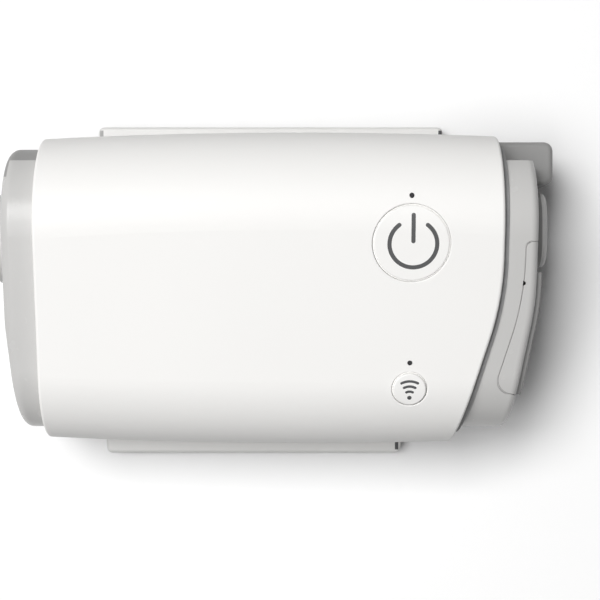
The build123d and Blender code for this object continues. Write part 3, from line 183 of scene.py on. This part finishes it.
def soft_rubber(name, colour):
    """Matte rubber with a slightly mottled, dusty face."""
    material, shader = new_material(name, colour, RUBBER_ROUGHNESS, specular=RUBBER_SPECULAR)
    tree = material.node_tree
    place = object_coordinates(tree)
    dust = add_noise(tree, place, DUST_SCALE)
    tone = mix_colours(tree, dust, shade(colour, DUST_DARK), shade(colour, DUST_PALE))
    tree.links.new(tone, shader.inputs["Base Color"])
    grain = add_noise(tree, place, RUBBER_GRAIN_SCALE)
    add_bump(tree, shader, grain, RUBBER_GRAIN_STRENGTH, RUBBER_GRAIN_DEPTH)
    return material


FOAM_ROUGHNESS = 0.95
FOAM_SPECULAR = 0.1
# Painted shade in the foam's pits and painted light on its cell walls.
PIT_PAINTED_SHADE, WALL_PAINTED_LIGHT = 0.5, 1.1
PIT_STRENGTH = 0.8
PIT_DEPTH = 0.3 * MM


def open_foam(name, colour, cell_scale):
    """Open-cell foam or felted fibre: cells as bump, with painted shade in the pits and painted light on the
    cell walls.
    """
    material, shader = new_material(name, colour, FOAM_ROUGHNESS, specular=FOAM_SPECULAR)
    tree = material.node_tree
    cells = tree.nodes.new("ShaderNodeTexVoronoi")
    cells.inputs["Scale"].default_value = cell_scale
    tree.links.new(object_coordinates(tree), cells.inputs["Vector"])
    pits_bump_and_shade = cells.outputs["Distance"]
    # Painted shade: darker towards each cell's middle, paler on its walls.
    tone = mix_colours(tree, pits_bump_and_shade, shade(colour, PIT_PAINTED_SHADE), shade(colour, WALL_PAINTED_LIGHT))
    tree.links.new(tone, shader.inputs["Base Color"])
    add_bump(tree, shader, pits_bump_and_shade, PIT_STRENGTH, PIT_DEPTH)
    return material


MASK_GREEN = (0.010, 0.09, 0.035)
FIELD_GREENS = ((0.010, 0.10, 0.04), (0.012, 0.08, 0.03))
TRACK_GREEN = (0.02, 0.16, 0.06)
TRACK_SCALE = 260.0


def board_material(name):
    """Green solder mask with paler tracks showing through it."""
    material, shader = new_material(name, MASK_GREEN, 0.3)
    tree = material.node_tree
    tracks = tree.nodes.new("ShaderNodeTexBrick")
    tracks.inputs["Scale"].default_value = TRACK_SCALE
    for socket, green in zip(("Color1", "Color2", "Mortar"), (*FIELD_GREENS, TRACK_GREEN)):
        tracks.inputs[socket].default_value = (*green, 1.0)
    tree.links.new(object_coordinates(tree), tracks.inputs["Vector"])
    tree.links.new(tracks.outputs["Color"], shader.inputs["Base Color"])
    return material


WHITE = (0.90, 0.892, 0.875)
# Painted shade: the cradle is a greyer white than the shell, which stands in for the shadow of the body over
# its rails.
CRADLE_PAINTED_SHADE_WHITE = (0.775, 0.77, 0.755)
# Painted shade and painted light on the cradle's stops: dark on the shaded inlet side, pale on the lit
# outlet side.
STOP_PAINTED_SHADE = (0.10, 0.10, 0.102)
STOP_PAINTED_LIGHT = (0.42, 0.42, 0.415)
CAP_GREY = (0.565, 0.56, 0.55)
FRAME_GREY = (0.276, 0.274, 0.270)
RING_GREY = (0.66, 0.658, 0.65)

materials = {
    "white_shell": moulded_plastic("white_shell", WHITE, 0.52),
    "button_white": moulded_plastic("button_white", WHITE, 0.48),
    "cap_grey": moulded_plastic("cap_grey", CAP_GREY, 0.26, specular=0.3),
    "frame_grey": moulded_plastic("frame_grey", FRAME_GREY, 0.45),
    "inlet_ring_grey": moulded_plastic("inlet_ring_grey", RING_GREY, 0.4),
    "chassis_grey": moulded_plastic("chassis_grey", (0.17, 0.175, 0.185), 0.5),
    "blower_grey": moulded_plastic("blower_grey", (0.075, 0.08, 0.085), 0.45),
    "black_plastic": moulded_plastic("black_plastic", (0.012, 0.012, 0.013), 0.4),
    "dark_rubber": soft_rubber("dark_rubber", (0.07, 0.07, 0.074)),
    "gasket_grey": soft_rubber("gasket_grey", (0.28, 0.28, 0.282)),
    "light_window": moulded_plastic("light_window", (0.012, 0.012, 0.014), 0.14),
    "contact_brass": plain_metal("contact_brass", (0.78, 0.57, 0.22), 0.3, (1, 8, 8)),
    "steel": plain_metal("steel", (0.56, 0.57, 0.58), 0.34, (8, 8, 1)),
    "motor_iron": plain_metal("motor_iron", (0.22, 0.22, 0.23), 0.5, (1, 1, 20)),
    "shield_metal": plain_metal("shield_metal", (0.68, 0.69, 0.7), 0.32, (1, 12, 1)),
    "circuit_board": board_material("circuit_board"),
    "lead_film": moulded_plastic("lead_film", (0.42, 0.13, 0.02), 0.3),
    "foam": open_foam("foam", (0.03, 0.03, 0.032), 1400.0),
    "filter_pad": open_foam("filter_pad", (0.75, 0.76, 0.77), 2600.0),
}

for entry in frame["record"]["subparts"]:
    node = nodes[entry["node"]]
    node.data.materials.clear()
    node.data.materials.append(materials[entry["material_slot"]])

# Painted shade: the cradle gets the greyer white, which stands in for the shade under the body.
nodes["base_cradle"].data.materials[0] = moulded_plastic("cradle_white_painted_shade", CRADLE_PAINTED_SHADE_WHITE, 0.46)


def stops_painted_light_and_shade():
    """Painted shade and light: dark at the inlet end (X above 0) for the shaded gaps at the rails' ends,
    pale grey at the lit outlet end.
    """
    material = soft_rubber("stops_painted_light_and_shade", STOP_PAINTED_SHADE)
    tree = material.node_tree
    split = tree.nodes.new("ShaderNodeSeparateXYZ")
    tree.links.new(object_coordinates(tree), split.inputs["Vector"])
    side = tree.nodes.new("ShaderNodeMath")
    side.operation = "GREATER_THAN"
    side.inputs[1].default_value = 0.0
    tree.links.new(split.outputs["X"], side.inputs[0])
    tone = mix_colours(tree, side.outputs["Value"], STOP_PAINTED_LIGHT, STOP_PAINTED_SHADE)
    tree.links.new(tone, tree.nodes["Principled BSDF"].inputs["Base Color"])
    return material


nodes["cradle_stops"].data.materials[0] = stops_painted_light_and_shade()


# ---------------------------------------------------------------- printed symbols on the buttons
# The symbols are drawn in mm and degrees on the control face, from the power button's centre:
# u along +X, and v up the sloping face towards the rear.
CONTROL_ORIGIN = Vector((0.0316, 0.0103, 0.05094))
control_out = -joint_axis("power_press")
control_right = Vector((1, 0, 0))
control_up = control_out.cross(control_right)
INK_RISE = 0.02 * MM
INK_SINK = 0.02 * MM
RAY_START = 0.03


def arc_points(centre, radius, start, end, count):
    """Points along an arc, angles in degrees from +u towards +v."""
    return [
        (
            centre[0] + radius * cos(radians(start + (end - start) * i / (count - 1))),
            centre[1] + radius * sin(radians(start + (end - start) * i / (count - 1))),
        )
        for i in range(count)
    ]


def line_points(start, end, count):
    """Points along a straight line, from start to end."""
    return [
        (
            start[0] + (end[0] - start[0]) * i / (count - 1),
            start[1] + (end[1] - start[1]) * i / (count - 1),
        )
        for i in range(count)
    ]


def stroke_rows(points, width, across=5, cap_steps=6):
    """Cross rows of a round-ended stroke along a line of points, in mm on the control face."""
    rows = []
    last = len(points) - 1

    def direction(i):
        a, b = points[max(i - 1, 0)], points[min(i + 1, last)]
        return Vector((b[0] - a[0], b[1] - a[1])).normalized()

    def row(centre, along, half_width):
        side = Vector((-along.y, along.x))
        return [
            Vector(centre) + side * half_width * (2 * k / (across - 1) - 1) for k in range(across)
        ]

    half = width / 2
    for step in range(1, cap_steps + 1):
        turn = pi / 2 * step / (cap_steps + 1)
        along = direction(0)
        rows.append(row(Vector(points[0]) - along * half * cos(turn), along, half * sin(turn)))
    for i in range(last + 1):
        rows.append(row(points[i], direction(i), half))
    for step in range(cap_steps, 0, -1):
        turn = pi / 2 * step / (cap_steps + 1)
        along = direction(last)
        rows.append(row(Vector(points[last]) + along * half * cos(turn), along, half * sin(turn)))
    return rows


def surface_tree(node_name):
    """Ray tree of a CAD node's mesh."""
    mesh = nodes[node_name].data
    return BVHTree.FromPolygons(
        [vertex.co for vertex in mesh.vertices],
        [polygon.vertices for polygon in mesh.polygons],
    )


def add_piece(name, build, material, body):
    """Closed mesh from a bmesh, riding on a body."""
    bmesh.ops.recalc_face_normals(build, faces=build.faces)
    mesh = bpy.data.meshes.new(name)
    build.to_mesh(mesh)
    build.free()
    piece = bpy.data.objects.new(name, mesh)
    piece.data.materials.append(material)
    scene.collection.objects.link(piece)
    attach(piece, body)


def print_on(name, node_name, strokes, body):
    """Thin ink lying on a button's crown, one closed strip for each stroke."""
    tree = surface_tree(node_name)
    build = bmesh.new()
    for points, width in strokes:
        rows = stroke_rows(points, width)
        top, bottom = [], []
        for row in rows:
            for layer, rise in ((top, INK_RISE), (bottom, -INK_SINK)):
                line = []
                for spot in row:
                    foot = CONTROL_ORIGIN + control_right * spot.x * MM + control_up * spot.y * MM
                    hit = tree.ray_cast(foot + control_out * RAY_START, -control_out)[0]
                    line.append(build.verts.new(hit + control_out * rise))
                layer.append(line)
        for r in range(len(rows) - 1):
            for k in range(len(rows[0]) - 1):
                build.faces.new((top[r][k], top[r + 1][k], top[r + 1][k + 1], top[r][k + 1]))
                build.faces.new(
                    (bottom[r][k], bottom[r][k + 1], bottom[r + 1][k + 1], bottom[r + 1][k])
                )
            for k, flip in ((0, False), (len(rows[0]) - 1, True)):
                wall = [top[r][k], bottom[r][k], bottom[r + 1][k], top[r + 1][k]]
                build.faces.new(wall[::-1] if flip else wall)
        for r, flip in ((0, True), (len(rows) - 1, False)):
            for k in range(len(rows[0]) - 1):
                wall = [top[r][k], bottom[r][k], bottom[r][k + 1], top[r][k + 1]]
                build.faces.new(wall[::-1] if flip else wall)
    add_piece(name, build, ink, body)


INK_GREY = (0.055, 0.056, 0.058)
ink = moulded_plastic("symbol_ink", INK_GREY, 0.5, variation=0.05)

POWER_MARK = (0.37, -0.10)
POWER_ARC_R = 5.45
POWER_ARC = (126.5, 413.5)
POWER_BAR = (0.52, 6.54)
POWER_STROKE = 0.96
ARC_STEPS = 90
BAR_STEPS = 24
power_arc = arc_points(POWER_MARK, POWER_ARC_R, *POWER_ARC, ARC_STEPS)
power_bar = line_points(*[(POWER_MARK[0], v) for v in POWER_BAR], BAR_STEPS)
power_strokes = [(power_arc, POWER_STROKE), (power_bar, POWER_STROKE)]
print_on("power_symbol", "power_button", power_strokes, "power_key")

PAIRING_V = -34.5
PAIRING_MARK = (0.0, PAIRING_V - 2.0)
WAVE_RADII = (1.55, 2.8, 4.05)
WAVE_ARC = (62, 118)
WAVE_STROKE = 0.6
WAVE_STEPS = 24
DOT_R = 0.02
DOT_STROKE = 1.0
pairing_strokes = [
    (arc_points(PAIRING_MARK, radius, *WAVE_ARC, WAVE_STEPS), WAVE_STROKE) for radius in WAVE_RADII
]
dot = arc_points(PAIRING_MARK, DOT_R, start=0, end=180, count=3)
pairing_strokes.append((dot, DOT_STROKE))
print_on("pairing_symbol", "pairing_button", pairing_strokes, "pairing_key")


# ---------------------------------------------------------------- dust lips in the buttons' gaps
# These sizes are in mm.
BUTTON_GAP = 0.3
LIP_CLEARANCE = 0.08
LIP_DEPTH = 0.45
LIP_HEIGHT = 0.5
LIP_SUNK = 0.03
LIP_ROLL = 0.04
LIP_STEPS = 120
SLEEVE_REACH = 0.4
POWER_HOLE_R = 9.0
PAIRING_HOLE_R = 4.15


def dust_lip(name, centre_v, hole_r, body):
    """Pale lip round a button, closing most of its gap just below the shell's face."""
    tree = surface_tree("outer_sleeve")
    inner, outer = hole_r - BUTTON_GAP - LIP_SUNK, hole_r - LIP_CLEARANCE
    middle = (inner + outer) / 2
    build = bmesh.new()
    rings = []
    for i in range(LIP_STEPS):
        turn = 2 * pi * i / LIP_STEPS
        away = control_right * cos(turn) + control_up * sin(turn)
        foot = CONTROL_ORIGIN + control_up * centre_v * MM
        start = foot + away * (hole_r + SLEEVE_REACH) * MM + control_out * RAY_START
        face = (tree.ray_cast(start, -control_out)[0] - foot).dot(control_out)
        profile = (
            (inner, LIP_DEPTH + LIP_HEIGHT),
            (inner, LIP_DEPTH),
            (middle, LIP_DEPTH),
            (outer, LIP_DEPTH + LIP_ROLL),
            (outer, LIP_DEPTH + LIP_HEIGHT),
        )
        rings.append(
            [
                build.verts.new(foot + away * radius * MM + control_out * (face - depth * MM))
                for radius, depth in profile
            ]
        )
    for i in range(LIP_STEPS):
        here, there = rings[i], rings[(i + 1) % LIP_STEPS]
        for k in range(len(here)):
            m = (k + 1) % len(here)
            build.faces.new((here[k], here[m], there[m], there[k]))
    add_piece(name, build, materials["button_white"], body)


dust_lip("power_dust_lip", 0.0, POWER_HOLE_R, "power_key")
dust_lip("pairing_dust_lip", PAIRING_V, PAIRING_HOLE_R, "pairing_key")


# ---------------------------------------------------------------- seal strips in the door's seam
# Two strips lie in the seam on the cap's top, one on each side of the finger notch at NOTCH_Y.
# They are cast from plan points inside the door onto its edge, and down onto door and cap.
DOOR_GAP = 0.25 * MM
SEAL_CLEARANCE = 0.07 * MM
SEAL_SUNK = 0.02 * MM
SEAL_DEPTH = 0.16 * MM
SEAL_HEIGHT = 0.8 * MM
SEAL_ROLL = 0.04 * MM
EDGE_DEPTH = 0.6 * MM
DOOR_SAMPLE = 0.06 * MM
CAP_SAMPLE = 0.2 * MM
WALL_SAMPLE = 0.5 * MM
SEAL_REAR_Y = 9.1 * MM
SEAL_FRONT_Y = -21.5 * MM
REAR_CORNER = 1.6 * MM
FRONT_CORNER = 3.4 * MM
REAR_TURN = (90, 175)
FRONT_TURN = (184, 260)
REAR_RUN = 1.1 * MM
FRONT_RUN = 0.9 * MM
NOTCH_Y = 1.3 * MM
NOTCH_HALF = 0.6 * MM
DOOR_REAR_X = 59.6 * MM
DOOR_FRONT_X = 55.2 * MM
HIGH_Z = 0.1
DOWN = Vector((0, 0, -1))
LEFT = Vector((-1, 0, 0))
REAR = Vector((0, 1, 0))

door_tree = surface_tree("filter_cover")
cap_tree = surface_tree("inlet_end_cap")


def door_inside(y):
    """Plan point well inside the door's top, which follows the slanted end of the shell."""
    share = (SEAL_REAR_Y - y) / (SEAL_REAR_Y - SEAL_FRONT_Y)
    return DOOR_REAR_X + (DOOR_FRONT_X - DOOR_REAR_X) * share, y


def door_wall(inside, away):
    """Point on the door's edge, just under its face, from a point inside the door."""
    top = door_tree.ray_cast(Vector((inside[0], inside[1], HIGH_Z)), DOWN)[0]
    return door_tree.ray_cast(top + DOWN * EDGE_DEPTH, away)[0]


def seal_row(inside, away):
    """Cross section of the strip where it passes the door's edge."""
    wall = door_wall(inside, away)
    near, far = wall + away * SEAL_CLEARANCE, wall + away * (DOOR_GAP + SEAL_SUNK)
    before, beside = wall - away * DOOR_SAMPLE, wall + away * (DOOR_GAP + CAP_SAMPLE)
    near.z = door_tree.ray_cast(Vector((before.x, before.y, HIGH_Z)), DOWN)[0].z
    far.z = cap_tree.ray_cast(Vector((beside.x, beside.y, HIGH_Z)), DOWN)[0].z
    profile = (
        (near, SEAL_DEPTH + SEAL_HEIGHT),
        (near, SEAL_DEPTH + SEAL_ROLL),
        ((near + far) / 2, SEAL_DEPTH),
        (far, SEAL_DEPTH),
        (far, SEAL_DEPTH + SEAL_HEIGHT),
    )
    return [spot + DOWN * depth for spot, depth in profile]


def seal_strip(name, rows):
    """Closed strip through the cross sections, riding on the housing."""
    build = bmesh.new()
    rings = [[build.verts.new(spot) for spot in row] for row in rows]
    for here, there in zip(rings, rings[1:]):
        for k in range(len(here)):
            m = (k + 1) % len(here)
            build.faces.new((here[k], here[m], there[m], there[k]))
    build.faces.new(rings[0])
    build.faces.new(rings[-1][::-1])
    add_piece(name, build, materials["cap_grey"], "housing")


def edge_rows(rear_y, front_y, count):
    """Rows along the door's long edge, from the rear to the front."""
    step = (front_y - rear_y) / (count - 1)
    return [seal_row(door_inside(rear_y + step * i), LEFT) for i in range(count)]


def corner_centre(y, radius):
    """Centre of the door's rounded corner, where its side edge ends at y."""
    wall = door_wall(door_inside(y), LEFT)
    return Vector((wall.x + radius, y, 0))


def corner_rows(centre, radius, start, end, count):
    """Rows round a corner, angles in degrees from +X towards +Y."""
    rows = []
    for i in range(count):
        turn = radians(start + (end - start) * i / (count - 1))
        away = Vector((cos(turn), sin(turn), 0))
        rows.append(seal_row(centre + away * (radius - WALL_SAMPLE), away))
    return rows


def run_rows(centre, radius, along, length, away, count):
    """Rows along a straight end of the door, away from its corner."""
    start = centre + away * (radius - WALL_SAMPLE)
    return [seal_row(start + along * length * t / count, away) for t in range(1, count + 1)]


rear_centre = corner_centre(SEAL_REAR_Y, REAR_CORNER)
rear_rows = run_rows(rear_centre, REAR_CORNER, -LEFT, REAR_RUN, REAR, count=4)[::-1]
rear_rows += corner_rows(rear_centre, REAR_CORNER, *REAR_TURN, count=10)
rear_rows += edge_rows(SEAL_REAR_Y, NOTCH_Y + NOTCH_HALF, count=16)
seal_strip("door_seal_rear", rear_rows)

hinge_axis = joint_axis("filter_door_hinge")
hinge_out = Vector((hinge_axis.y, -hinge_axis.x, 0))
front_centre = corner_centre(SEAL_FRONT_Y, FRONT_CORNER)
front_rows = edge_rows(NOTCH_Y - NOTCH_HALF, SEAL_FRONT_Y, count=40)
front_rows += corner_rows(front_centre, FRONT_CORNER, *FRONT_TURN, count=16)
front_rows += run_rows(front_centre, FRONT_CORNER, hinge_out, FRONT_RUN, -hinge_axis, count=3)
seal_strip("door_seal_front", front_rows)


# ---------------------------------------------------------------- floor, backdrop and light
def seen_ray(tree):
    """1 for the rays that show the background: camera, glossy and transmission rays."""
    path = tree.nodes.new("ShaderNodeLightPath")
    total = path.outputs["Is Camera Ray"]
    for kind in ("Is Glossy Ray", "Is Transmission Ray"):
        either = tree.nodes.new("ShaderNodeMath")
        either.operation = "MAXIMUM"
        tree.links.new(total, either.inputs[0])
        tree.links.new(path.outputs[kind], either.inputs[1])
        total = either.outputs["Value"]
    return total


def mix_shaders(tree, factor, first, second):
    """The first shader where the factor is 0, the second where it is 1."""
    mix = tree.nodes.new("ShaderNodeMixShader")
    for socket, output in zip(mix.inputs, (factor, first, second)):
        tree.links.new(output, socket)
    return mix.outputs["Shader"]


def distance_fade(tree, near, far):
    """0 within the near radius of the object's origin, rising to 1 at the far radius."""
    length = tree.nodes.new("ShaderNodeVectorMath")
    length.operation = "LENGTH"
    tree.links.new(object_coordinates(tree), length.inputs[0])
    fade = tree.nodes.new("ShaderNodeMapRange")
    fade.interpolation_type = "SMOOTHSTEP"
    fade.inputs["From Min"].default_value = near
    fade.inputs["From Max"].default_value = far
    tree.links.new(length.outputs["Value"], fade.inputs["Value"])
    return fade.outputs["Result"]


def product(tree, first, second):
    times = tree.nodes.new("ShaderNodeMath")
    times.operation = "MULTIPLY"
    tree.links.new(first, times.inputs[0])
    tree.links.new(second, times.inputs[1])
    return times.outputs["Value"]


# The floor holds the object's shadow within SHADOW_REACH, and is plain white paper further out.
PAPER_WHITE = (1.0, 1.0, 1.0)
PAPER_STRENGTH = 1.0
FLOOR_BOUNCE = (0.4, 0.4, 0.4)
FLOOR_ROUGHNESS = 0.9
FLOOR_SIZE = 6.0
SHADOW_REACH = 0.15
BACKDROP_REACH = 0.55
floor_material, floor_shader = new_material("floor", PAPER_WHITE, FLOOR_ROUGHNESS, specular=0.0)
floor_tree = floor_material.node_tree
floor_seen = seen_ray(floor_tree)
floor_tone = mix_colours(floor_tree, floor_seen, FLOOR_BOUNCE, PAPER_WHITE)
floor_tree.links.new(floor_tone, floor_shader.inputs["Base Color"])
paper = floor_tree.nodes.new("ShaderNodeEmission")
paper.inputs["Color"].default_value = (*PAPER_WHITE, 1.0)
paper.inputs["Strength"].default_value = PAPER_STRENGTH
far_away = distance_fade(floor_tree, SHADOW_REACH, BACKDROP_REACH)
paper_share = product(floor_tree, floor_seen, far_away)
floor_surface = mix_shaders(
    floor_tree, paper_share, floor_shader.outputs["BSDF"], paper.outputs["Emission"]
)
floor_tree.links.new(floor_surface, floor_tree.nodes["Material Output"].inputs["Surface"])
floor_mesh = bpy.data.meshes.new("floor")
half = FLOOR_SIZE / 2
floor_mesh.from_pydata(
    [(-half, -half, 0), (half, -half, 0), (half, half, 0), (-half, half, 0)], [], [(0, 1, 2, 3)]
)
floor = bpy.data.objects.new("floor", floor_mesh)
floor.data.materials.append(floor_material)
scene.collection.objects.link(floor)

WORLD_LIGHT = 0.09
world = bpy.data.worlds.new("studio")
scene.world = world
world.use_nodes = True
world_tree = world.node_tree
ambient = world_tree.nodes["Background"]
ambient.inputs["Color"].default_value = (*PAPER_WHITE, 1.0)
ambient.inputs["Strength"].default_value = WORLD_LIGHT
backdrop = world_tree.nodes.new("ShaderNodeBackground")
backdrop.inputs["Color"].default_value = (*PAPER_WHITE, 1.0)
backdrop.inputs["Strength"].default_value = PAPER_STRENGTH
sky = mix_shaders(
    world_tree,
    seen_ray(world_tree),
    ambient.outputs["Background"],
    backdrop.outputs["Background"],
)
world_tree.links.new(sky, world_tree.nodes["World Output"].inputs["Surface"])

LIGHT_X = -1.0
LIGHT_HEIGHT = 2.5
LIGHT_WIDTH = 1.4


def soft_box(name, middle_y, length, watts):
    """Rectangular studio light facing straight down, at the outlet's side of the object."""
    data = bpy.data.lights.new(name, "AREA")
    data.shape = "RECTANGLE"
    data.size = LIGHT_WIDTH
    data.size_y = length
    data.energy = watts
    light = bpy.data.objects.new(name, data)
    light.location = (LIGHT_X, middle_y, LIGHT_HEIGHT)
    scene.collection.objects.link(light)


soft_box("key", middle_y=0.775, length=1.15, watts=59.5)
soft_box("front_fill", middle_y=-0.45, length=1.3, watts=30.0)
